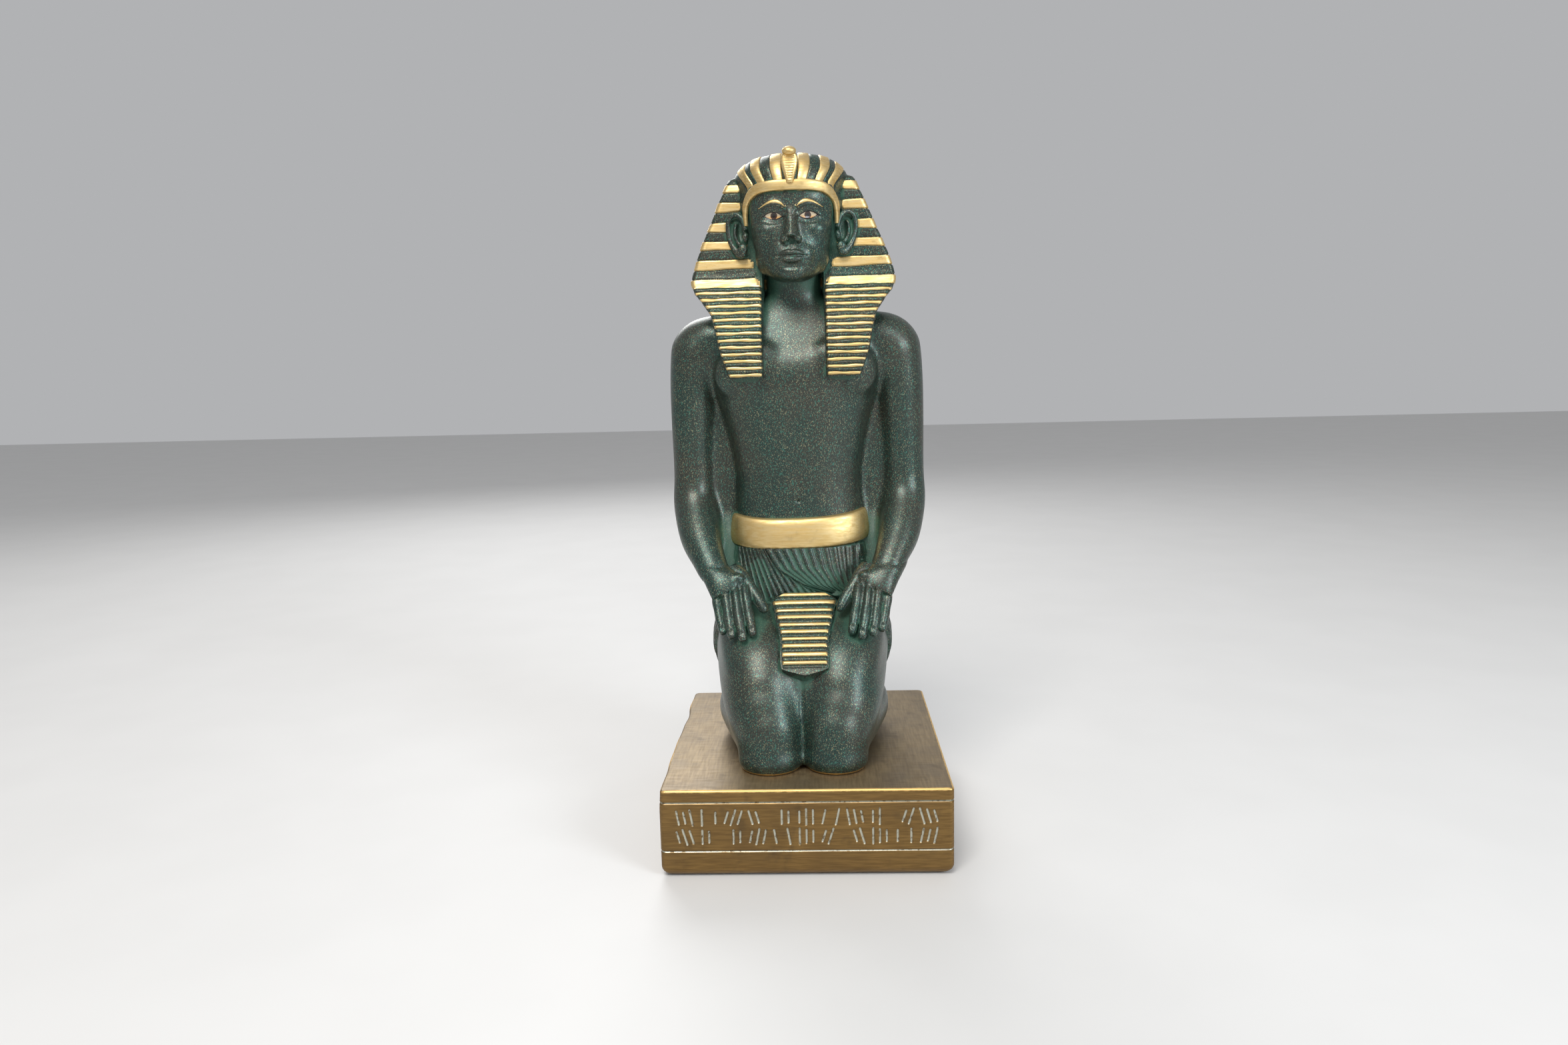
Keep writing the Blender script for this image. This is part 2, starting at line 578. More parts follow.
def head_piece():
    bones = [stack(SKULL, 2.2)]
    bones.append(limb([
        (0, -8.2, BROW_HEIGHT + 1, 3.2, 1.8), (0, -9.6, EYE_HEIGHT - 0.5, 2.0, 1.9),
        (0, -11.0, NOSE_BASE + 6.4, 2.3, 2.3), (0, -12.2, NOSE_BASE + 2.8, 3.0, 2.3),
    ]))
    bones.append(ball((0, -8.9, MOUTH_HEIGHT + 0.4, 8.8, 3.3, 6.6, 0)))
    bones.append(ball((0, -7.9, CHIN_HEIGHT + 3.8, 6.4, 3.9, 4.4, 0)))
    for side in (-1, 1):
        bones.append(ball((9.4, -3.2, NOSE_BASE + 5.6, 5.6, 6.0, 5.2, 0), side))
        bones.append(ball((11.2, 1.4, NOSE_BASE - 3, 3.9, 6.2, 8.0, 0), side))
        brow = [
            (side * 1.6, -9.2, BROW_HEIGHT, 1.5, 1.5), (side * 7.5, -9.0, BROW_HEIGHT + 1.4, 1.6, 1.5),
            (side * 13, -6.2, BROW_HEIGHT, 1.5, 1.5),
        ]
        bones.append(strap_across(brow))
    parts = [blend("bones", bones, BONE_GRAIN, 16)]
    parts.append(limb([
        (0, -9.0, EYE_HEIGHT + 1.6, 1.3, 1.2), (0, -11.0, NOSE_BASE + 8.4, 1.1, 1.3),
        (0, -12.9, NOSE_BASE + 4.6, 1.6, 1.6), (0, -13.9, NOSE_BASE + 2.2, 2.5, 1.9),
    ], sides=24))
    upper_lip = [
        (-6.2, -10.3, MOUTH_HEIGHT + 0.1, 0.5, 0.6), (-3.2, -12.0, MOUTH_HEIGHT + 0.95, 0.95, 1.0),
        (-1.1, -12.7, MOUTH_HEIGHT + 1.35, 1.1, 1.1), (0, -12.8, MOUTH_HEIGHT + 1.1, 0.95, 1.0),
        (1.1, -12.7, MOUTH_HEIGHT + 1.35, 1.1, 1.1), (3.2, -12.0, MOUTH_HEIGHT + 0.95, 0.95, 1.0),
        (6.2, -10.3, MOUTH_HEIGHT + 0.1, 0.5, 0.6),
    ]
    lower_lip = [
        (-5.6, -10.3, MOUTH_HEIGHT - 0.3, 0.5, 0.6), (-2.8, -11.8, MOUTH_HEIGHT - 1.15, 1.05, 1.0),
        (0, -12.3, MOUTH_HEIGHT - 1.45, 1.25, 1.15), (2.8, -11.8, MOUTH_HEIGHT - 1.15, 1.05, 1.0),
        (5.6, -10.3, MOUTH_HEIGHT - 0.3, 0.5, 0.6),
    ]
    parts += [strap_across(upper_lip), strap_across(lower_lip)]
    for side in (-1, 1):
        parts.append(ball((2.65, -11.9, NOSE_BASE + 1.6, 1.75, 2.4, 1.75, 0), side))
        parts.append(limb(EAR_RIM, side, outward=EAR_CENTRE, sides=20))
        parts.append(limb(EAR_FOLD, side, outward=EAR_CENTRE, sides=16))
        parts += [ball(mass, side) for mass in (EAR_BOWL, EAR_FLAP, EAR_LOBE)]
    piece = blend("head", parts, HEAD_GRAIN, 7)
    refine_face(piece)
    spots = spots_of(piece)
    for side in (-1, 1):
        # Eye socket with the ball in it, nostril, and the hollows of the ear
        dab(spots, (side * EYE_APART, -9, EYE_HEIGHT), (6.2, 6, 4.2), (0, 2.3, 0))
        dab(spots, (side * EYE_APART, -8.4, EYE_HEIGHT), (4.8, 5, 3.0), (0, -1.7, 0))
        dab(spots, (side * 1.75, -12.8, NOSE_BASE - 0.1), (1.15, 1.7, 1.3), (0, 0.2, 1.3))
        dab(spots, (side * 21.4, 3.6, 212.6), (2.0, 4, 4.4), (0, 1.4, 0))
        dab(spots, (side * 24.4, 3.4, 214), (1.0, 3, 4.0), (0, 0.5, 0))
    dab(spots, (0, -11, MOUTH_HEIGHT - 4.0), (5.5, 3, 1.9), (0, 0.7, 0))
    put(piece, spots)
    normals = normals_of(piece)
    for side in (-1, 1):
        fold = [(3.9, -12.0, NOSE_BASE + 2.8), (4.5, -10.8, NOSE_BASE + 0.6)]
        score(spots, normals, mirrored(fold, side), 0.5, 0.3)
    score(spots, normals, [(0, -12.6, NOSE_BASE - 0.6), (0, -12.6, MOUTH_HEIGHT + 2.6)], 0.8, 0.3)
    lips = [(-5.9, -10.9, MOUTH_HEIGHT), (-2.5, -12.9, MOUTH_HEIGHT + 0.1), (0, -13.4, MOUTH_HEIGHT - 0.15)]
    lips += [(2.5, -12.9, MOUTH_HEIGHT + 0.1), (5.9, -10.9, MOUTH_HEIGHT)]
    score(spots, normals, lips, 0.38, 0.4)
    # Lids: a soft ridge outside the almond of the eye, and a fold above it
    across = np.abs(spots[:, 0]) - EYE_APART
    up = spots[:, 2] - EYE_HEIGHT
    above, below = up - lid_edge(across, 1), lid_edge(across, -1) - up
    slant = np.sqrt(1 + (0.85 * np.clip(across / EYE_HALF, -1.6, 1.6)) ** 2)
    away = np.maximum(above, below) / slant
    front = (spots[:, 1] < -3) & (away < 4)
    upper = above > below
    ridge = np.where(upper, 0.6, 0.26) * smoothstep(-0.06, 0.22, away) * smoothstep(2.2, 0.5, away)
    ridge -= np.where(upper, 0.22, 0.04) * np.exp(-(((away - 1.75) / 0.4) ** 2))
    spots += normals * (ridge * front)[:, None]
    put(piece, spots)
    paint(piece, "eye", np.where(front, -away, -9))
    paint(piece, "eye_across", across + 0.25)
    paint(piece, "eye_up", up - 0.12)
    thin_to(piece, HEAD_TRIANGLES)
    return piece


def refine_face(piece):
    """Smaller faces round the eyes, nose and mouth."""
    select(piece)
    spots = spots_of(piece)
    eyes = (np.abs(np.abs(spots[:, 0]) - EYE_APART) < 5.2) & (np.abs(spots[:, 2] - EYE_HEIGHT) < 3.6)
    mouth = (np.abs(spots[:, 0]) < 6.8) & (np.abs(spots[:, 2] - MOUTH_HEIGHT) < 3)
    bpy.ops.object.mode_set(mode="EDIT")
    bpy.ops.mesh.select_mode(type="VERT")
    bpy.ops.mesh.select_all(action="DESELECT")
    bpy.ops.object.mode_set(mode="OBJECT")
    piece.data.vertices.foreach_set("select", (eyes | mouth) & (spots[:, 1] < -4))
    bpy.ops.object.mode_set(mode="EDIT")
    bpy.ops.mesh.subdivide(number_cuts=1, smoothness=0.6)
    bpy.ops.object.mode_set(mode="OBJECT")


def laid_on(piece, base, height):
    """A flat sheet in front of the base is pressed onto it, raised by a height and given a thickness."""
    apply(
        piece, "SHRINKWRAP", wrap_method="PROJECT", use_project_y=True, use_positive_direction=True,
        use_negative_direction=False, target=base,
    )
    spots = spots_of(piece)
    spots[:, 1] -= height
    put(piece, spots)
    face_front(piece)
    apply(piece, "SOLIDIFY", thickness=1.2 * MM, offset=-1)


def face_front(piece):
    """The faces of a sheet are turned to the front."""
    if normals_of(piece)[:, 1].mean() > 0:
        edit_all(piece, (bpy.ops.mesh.flip_normals, {}))


def sheet(name, columns, rows, place):
    """A flat grid whose points go where `place` puts their shares across and down."""
    deselect()
    bpy.ops.mesh.primitive_grid_add(x_subdivisions=columns, y_subdivisions=rows, size=2)
    piece = bpy.context.active_object
    piece.name = name
    flat = spots_of(piece) * MM
    u, v = (flat[:, 0] + 1) / 2, (1 - flat[:, 1]) / 2
    put(piece, place(u, v))
    return piece, u, v


def brow_piece(head, side):
    """A gilded eyebrow, thickest a third of the way along."""
    def place(u, v):
        x = 2.4 + 10.6 * u
        middle = BROW_HEIGHT + 0.2 + 2.3 * np.sin(math.pi * np.clip(u * 1.06, 0, 1) ** 0.8)
        half = 0.78 * np.clip(4 * u, 0, 1) ** 0.5 * np.clip(1.25 * (1 - u), 0, 1) ** 0.6 + 0.05
        return np.column_stack([side * x, np.full(len(u), -40.0), middle + half * (1 - 2 * v)])

    piece, u, v = sheet("brow_" + ("left" if side < 0 else "right"), 60, 12, place)
    laid_on(piece, head, 0.42 * np.clip(1 - (2 * v - 1) ** 2, 0, 1) ** 0.6 - 0.08)
    return piece


# Headdress
def band_rows(foot, pitch, gold, top):
    """Heights of the rows that shape raised gold and dark bands with a groove between them."""
    edges = [0, 0.12, 0.3, 0.5]
    rows = []
    for start, width in ((0, gold), (gold + GROOVE, pitch - gold - 2 * GROOVE)):
        rows += [start + e for e in edges] + [start + width * 0.5]
        rows += [start + width - e for e in edges[::-1]]
        rows += [start + width + GROOVE / 2]
    count = int((top - foot) / pitch) + 1
    heights = np.array([foot + pitch * i + r for i in range(count) for r in rows])
    return heights[heights < top]


def band_rise(phase, gold, pitch, gold_rise, dark_rise, soften=0.16):
    """How far a band stands out at a height above its foot, and whether it is a gold one."""
    phase = np.mod(phase, pitch)
    rise = gold_rise * smoothstep(0, soften, phase) * smoothstep(0, soften, gold - phase)
    dark = phase - gold - GROOVE
    width = pitch - gold - 2 * GROOVE
    rise += dark_rise * smoothstep(0, soften, dark) * smoothstep(0, soften, width - dark)
    return rise, ((phase > -0.05) & (phase < gold + 0.05)).astype(float)


def hood_piece():
    foot = BAND_FOOT - 3 * BAND_PITCH
    heights = band_rows(foot, BAND_PITCH, GOLD_BAND, HOOD[-1][0])
    sides = 224
    half_sides = sides // 2
    edge = 1.8

    def place(row, turn):
        z = heights[row]
        half, front, back = at_height(HOOD, z)
        w = np.where(turn <= half_sides, turn, sides - turn) / half_sides
        sign = np.where(turn <= half_sides, 1, -1)
        inner = np.minimum(12.4, half * 0.4)
        flat, corner = np.clip((w - 0.05) / 0.37, 0, 1), np.clip((w - 0.42) / 0.06, 0, 1)
        theta = np.clip((w - 0.48) / 0.52, 0, 1) * math.pi / 2
        x = inner + (half - edge - inner) * flat + edge * np.sin(corner * math.pi / 2)
        x = x * np.clip(w / 0.025, 0, 1)
        y = front + edge * (1 - np.cos(corner * math.pi / 2)) + 10 * (1 - np.clip((w - 0.03) / 0.02, 0, 1))
        behind = theta > 0
        x = np.where(behind, half * np.cos(theta) ** 0.8, x)
        y = np.where(behind, front + edge + (back - front - edge) * np.sin(theta) ** 0.8, y)
        sag = 0.25 * np.sin(x * 0.11 * sign + z * 0.3) + 0.12 * np.sin(x * 0.31 * sign + z)
        return np.column_stack([sign * x, y, z + sag])

    piece, row, turn = wrapped("hood", len(heights), sides, place)
    spots, normals = spots_of(piece), normals_of(piece)
    rise, gold = band_rise(heights[row] - BAND_FOOT, GOLD_BAND, BAND_PITCH, 0.46, 0.3)
    # The lower bands end round behind the jaw, the upper ones behind the ear and at the dome
    inner = np.interp(spots[:, 2], [191, 198, 205, 212, 220, 228, 236], [13.6, 15.4, 18, 19, 20, 20.5, 20])
    aside = np.abs(spots[:, 0])
    front = spots[:, 1] < 12
    phase = np.mod(heights[row] - BAND_FOOT, BAND_PITCH)
    middle = np.where(phase < GOLD_BAND + GROOVE / 2, GOLD_BAND / 2, (BAND_PITCH + GOLD_BAND) / 2)
    bulge = 1.5 * (1 - np.sqrt(np.clip(1 - ((phase - middle) / 1.85) ** 2, 0, 1)))
    shown = np.where(front, smoothstep(0, 0.4, aside - inner - bulge), 1)
    spots += normals * (rise * shown)[:, None]
    put(piece, spots)
    paint(piece, "gold", gold * np.where(front, aside > inner + bulge, 1))
    return piece


def lappet_piece(side):
    heights = [LAPPET[0][0], LAPPET[0][0] + 0.15, LAPPET[0][0] + 0.4]
    count = int((LAPPET[-1][0] - RIB_FOOT) / RIB_PITCH) + 1
    shape = [0, 0.12, 0.3, 0.67, 1.05, 1.23, 1.35, 1.48, 1.6, 1.8, 2.08, 2.4, 2.55, 2.68]
    heights += [RIB_FOOT + RIB_PITCH * i + s for i in range(count) for s in shape]
    heights = np.array([h for h in heights if h < LAPPET[-1][0]])
    sides = 100

    def place(row, turn):
        z = heights[row]
        inner, outer, front = at_height(LAPPET, z)
        rear = at_height(LAPPET_BACK, z)[0]
        w = turn / sides
        flat = np.clip(w / 0.6, 0, 1)
        x = inner + (outer - inner) * flat
        ends = 1.3
        slope = np.clip(1 - (x - inner) / ends, 0, 1) ** 2 + np.clip(1 - (outer - x) / ends, 0, 1) ** 2
        y = front + ends * slope
        back = w > 0.6
        run = np.clip((w - 0.6) / 0.4, 0, 1)
        x = np.where(back, np.interp(run, [0, 0.25, 0.75, 1], [0, 0, 1, 1]) * (inner - outer) + outer, x)
        inward = np.interp(run, [0, 0.25, 0.75, 1], [0, 1, 1, 0])
        y = np.where(back, inward * (rear - front - ends) + front + ends, y)
        sag = 0.1 * np.sin(x * 0.4 + z * 0.7) + 0.07 * np.sin(x * 0.9 + z * 2.1)
        return np.column_stack([side * x, y, z + sag])

    piece, row, turn = wrapped("lappet_" + ("left" if side < 0 else "right"), len(heights), sides, place)
    spots, normals = spots_of(piece), normals_of(piece)
    phase = np.mod(heights[row] - RIB_FOOT, RIB_PITCH)
    gold_hump = np.clip(1 - ((phase - GOLD_RIB / 2) / (GOLD_RIB / 2)) ** 2, 0, 1) ** 0.5
    dark_hump = np.clip(1 - ((phase - 2.08) / 0.58) ** 2, 0, 1) ** 0.5
    inner, outer, front = at_height(LAPPET, spots[:, 2])
    aside = np.abs(spots[:, 0])
    shown = smoothstep(0.3, 1.1, aside - inner) * smoothstep(0.2, 1.0, outer - aside) * (turn < 0.6 * sides)
    shown *= heights[row] >= RIB_FOOT
    spots += normals * ((0.62 * gold_hump + 0.36 * dark_hump) * shown)[:, None]
    put(piece, spots)
    paint(piece, "gold", (gold_hump > 0.25) * (shown > 0.15))
    return piece


def dome_piece():
    wide, deep, tall = DOME_RADII
    stripe_x = [0.0]
    for low, high in DOME_GOLD:
        stripe_x += [low - 0.5, low - 0.2, low, low + 0.12, low + 0.3, (low + high) / 2]
        stripe_x += [high - 0.3, high - 0.12, high, high + 0.2, high + 0.5]
    fill = [1.2, 8.2, 9.6, 16.4, 22.8, 23.6, 24.4, 25.0, 25.3]
    stripe_x = sorted(stripe_x + fill)
    xs = np.array([-x for x in stripe_x[:0:-1]] + stripe_x)
    z_over = tall * (1 - np.clip(np.abs(xs) / wide, 0, 1) ** DOME_SQUARE) ** (1 / DOME_SQUARE)
    latitude = np.arctan2(xs, z_over)
    sides = 220

    def place(row, turn):
        lat = latitude[row]
        turn_angle = 2 * math.pi * turn / sides
        way = np.column_stack([
            np.sin(lat), -np.cos(lat) * np.cos(turn_angle), np.cos(lat) * np.sin(turn_angle),
        ])
        plan = np.abs(way[:, 0] / wide) ** DOME_FLAT + np.abs(way[:, 1] / deep) ** DOME_FLAT
        rise = np.abs(way[:, 2] / tall) ** DOME_SQUARE
        reach = (plan ** (DOME_SQUARE / DOME_FLAT) + rise) ** (-1 / DOME_SQUARE)
        spots = np.array(DOME_CENTRE) + way * reach[:, None]
        narrow = smoothstep(237, 228, spots[:, 2]) * smoothstep(16, 3, spots[:, 1])
        spots[:, 0] *= 1 - 0.17 * narrow
        # Below the forehead band the dome draws in, inside the head
        foot = DOME_FOOT + (DOME_SIDE_FOOT - DOME_FOOT) * smoothstep(15, 19, np.abs(spots[:, 0]))
        tuck = smoothstep(0, 4, foot - spots[:, 2]) * (spots[:, 1] < 14)
        spots[:, :2] -= (spots[:, :2] - DOME_CENTRE[:2]) * (0.3 * tuck)[:, None]
        return spots

    piece, row, turn = wrapped("dome", len(xs), sides, place)
    spots, normals = spots_of(piece), normals_of(piece)
    x = np.abs(xs[row])
    rise = np.full(len(x), 0.18)
    gold = np.zeros(len(x))
    for low, high in DOME_GOLD:
        groove = np.minimum(np.abs(x - low + 0.2), np.abs(x - high - 0.2))
        rise -= 0.22 * np.clip(1 - groove / 0.3, 0, 1)
        inside = (x > low - 0.02) & (x < high + 0.02)
        gold[inside] = 1
        rise += 0.24 * smoothstep(0, 0.25, x - low) * smoothstep(0, 0.25, high - x)
    spots += normals * rise[:, None]
    put(piece, spots)
    paint(piece, "gold", gold)
    return piece


def tail_piece():
    piece = limb(TAIL, rows=140, sides=64, power=3.2, name="tail")
    spots, normals = spots_of(piece), normals_of(piece)
    phase = np.mod(spots[:, 2] - RIB_FOOT, RIB_PITCH)
    hump = np.clip(1 - ((phase - 0.7) / 0.8) ** 2, 0, 1) ** 0.5
    spots += normals * (0.4 * hump)[:, None]
    put(piece, spots)
    paint(piece, "gold", hump > 0.3)
    return piece


def forehead_band_piece():
    whole = [(-x, y, z, w, d) for x, y, z, w, d in FOREHEAD_BAND[:0:-1]] + FOREHEAD_BAND
    return limb(whole, outward=BAND_CENTRE, power=3.4, rows=160, sides=40, name="forehead_band")


def cobra_piece():
    parts = [limb(COBRA, sides=40, power=2.4), ball(COBRA_HEAD), limb(COBRA_BODY, outward=BAND_CENTRE)]
    piece = blend("cobra", parts, COBRA_GRAIN, 2)
    spots, normals = spots_of(piece), normals_of(piece)
    face = (spots[:, 1] < -12.4) & (spots[:, 2] < 240)
    half = at_height([(s[2], s[3]) for s in COBRA], spots[:, 2])[0]
    inner = np.clip(1 - (spots[:, 0] / (half * 0.62)) ** 2, 0, 1) * smoothstep(229.5, 231, spots[:, 2])
    ribs = 0.5 + 0.5 * np.cos(2 * math.pi * spots[:, 2] / 0.95)
    spots[:, 1] += face * inner * (0.55 - 0.3 * ribs)
    for side in (-1, 1):
        dab(spots, (side * 2.0, -14, 242.3), (0.7, 1.2, 0.7), (side * 0.3, -0.3, 0.2))
    put(piece, spots)
    return piece


# Dress
def belt_piece():
    piece = stack(BELT, 2.4, rows=44, sides=170, name="belt")
    spots = spots_of(piece)
    x = spots[:, 0]
    front = spots[:, 1] < 14
    spots[:, 2] += front * (1.9 * np.abs(x / 28) ** 2.6 + 0.022 * x)
    put(piece, spots)
    return piece


def kilt_piece():
    parts = [stack(KILT_HIPS)]
    for side in (-1, 1):
        parts += [limb(KILT_THIGH, side), ball(KILT_SEAT, side)]
    piece = blend("kilt", parts, KILT_GRAIN, 6)
    spots, normals = spots_of(piece), normals_of(piece)
    x, y, z = spots.T
    around = np.arctan2(x, -(y - 18)) * 30
    ridge = np.clip(0.5 - 0.75 * np.cos(2 * math.pi * around / 3.0), 0, 1)
    hidden = (np.abs(x) < 27) & (y < 2)
    rise = 0.4 * ridge * ~hidden
    # In front of its hem the cloth's form sinks into the thigh
    lead = 14 * (1 - smoothstep(29, 34, np.abs(x)))
    tuck = smoothstep(0, 1, (at_height(KILT_HEM, z)[0] - y + lead) / (1.0 + lead))
    spots += normals * (rise * (1 - tuck))[:, None]
    middle = np.column_stack([np.sign(x) * 18, y, np.full(len(x), 34)])
    spots += (middle - spots) * (0.17 * tuck)[:, None]
    spots[:, 2] = np.maximum(spots[:, 2], 1)
    put(piece, spots)
    thin_to(piece, KILT_TRIANGLES)
    return piece


def flap_piece(name, over, base):
    """A pleated front panel: its pleats start close together at the hip and fan down to the lap."""
    def place(u, v):
        low = FLAP_TOP + (FLAP_FOOT - FLAP_TOP) * v
        if over:
            # From the edge that crosses over to the hip on the viewer's right
            start_x, start_z = (np.interp(v, *zip(*column)) for column in (CROSSING_X, CROSSING_Z))
            end_x, end_z = 27 - 1.5 * v, low
        else:
            start_x, start_z = -27 + 2.5 * v, low
            end_x, end_z = -8 + 17 * v, low + 4 * v
        x = start_x + (end_x - start_x) * u
        return np.column_stack([x, np.full(len(x), -40.0), start_z + (end_z - start_z) * u])

    piece, u, v = sheet(name, 14 * FLAP_PLEATS, 48, place)
    ridge = np.clip(0.5 - 0.75 * np.cos(2 * math.pi * u * FLAP_PLEATS), 0, 1)
    rim = smoothstep(0, 0.02, u) if over else 1
    laid_on(piece, base, ((1.5 if over else 0.7) + 0.5 * ridge) * rim)
    return piece


def apron_piece():
    """The ribbed tongue of cloth over the lap, rounded off to a point at its foot."""
    sides = 96
    shape = [0, 0.07, 0.15, 0.27, 0.39, 0.46, 0.53, 0.6, 0.68, 0.78, 0.88, 0.94]
    shares = np.array([(i + s) / APRON_RIBS for i in range(APRON_RIBS) for s in shape] + [1.0])
    point = through([APRON[-1]] + APRON_POINT, np.linspace(0.1, 1, 10))
    stations = np.vstack([through(APRON, shares), point])

    def place(row, turn):
        half, y, z = stations[row].T
        w = turn / sides
        front = w <= 0.7
        x = half * np.clip(w / 0.7, 0, 1) * 2 - half
        run = np.clip((w - 0.7) / 0.3, 0, 1)
        x = np.where(front, x, half * (1 - 2 * run))
        down = np.where(front, 0.5 * np.abs(x / 13) ** 6, 3.0)
        return np.column_stack([x + APRON_ASIDE, y + down, z - down])

    piece, row, turn = wrapped("apron", len(stations), sides, place)
    spots, normals = spots_of(piece), normals_of(piece)
    ribbed = row < len(shares) - 1
    phase = np.mod(shares[np.minimum(row, len(shares) - 1)] * APRON_RIBS, 1)
    gold_hump = np.clip(1 - ((phase - 0.27) / 0.26) ** 2, 0, 1) ** 0.5
    dark_hump = np.clip(1 - ((phase - 0.78) / 0.2) ** 2, 0, 1) ** 0.5
    half = stations[row][:, 0]
    front = (turn <= 0.7 * sides) & ribbed
    shown = smoothstep(0.5, 1.3, half - np.abs(spots[:, 0] - APRON_ASIDE)) * front
    last = shares[np.minimum(row, len(shares) - 1)] > 1 - 0.99 / APRON_RIBS
    spots += normals * ((0.6 * gold_hump * np.where(last, 1.5, 1) + 0.35 * dark_hump) * shown)[:, None]
    put(piece, spots)
    paint(piece, "gold", (gold_hump > 0.3) * (shown > 0.2))
    return piece


# Plinth
STROKE_MARGIN = 2.0
STROKE_END_SPACE = 5.0
STROKE_GROUPS, STROKE_ROWS, STROKES_IN_GROUP = 11, 2, 3
STROKE_WIDTH, STROKE_DEPTH = 1.2, 0.5
STROKE_LEANS = (-16, 0, 12, 0, 18, -10, 0)
STROKE_LENGTHS = (0.56, 0.68, 0.80)
STROKE_LEFT_OUT = 5
LINE_DEPTH, LINE_HALF = 0.6, 0.45
UPPER_LINE_DROP, LOWER_LINE_RISE = 5.0, 10.5
FOOT_ROUND, TOP_ROUND, CORNER_ROUND = 4.5, 1.0, 2.0


def strokes(width, height):
    """The two ends of each short stroke, as places across and up the plinth's front."""
    low = LOWER_LINE_RISE + STROKE_MARGIN
    row_height = (height - UPPER_LINE_DROP - STROKE_MARGIN - low) / STROKE_ROWS
    reach = width - 2 * STROKE_END_SPACE
    found = []
    for group in range(STROKE_GROUPS):
        for row in range(STROKE_ROWS):
            for slot in range(STROKES_IN_GROUP):
                if (group * 2 + row + slot + 1) % STROKE_LEFT_OUT == 0:
                    continue
                lean = math.radians(STROKE_LEANS[(group * 3 + row * 5) % len(STROKE_LEANS)])
                half = row_height * STROKE_LENGTHS[(group + slot * 2 + row) % len(STROKE_LENGTHS)] / 2
                x = reach / STROKE_GROUPS * (group + (slot + 0.8) / (STROKES_IN_GROUP + 0.6)) - reach / 2
                z = low + row_height * (row + 0.5)
                reach_x, reach_z = math.sin(lean) * half, math.cos(lean) * half
                found.append([(x - reach_x, 0, z - reach_z), (x + reach_x, 0, z + reach_z)])
    return found


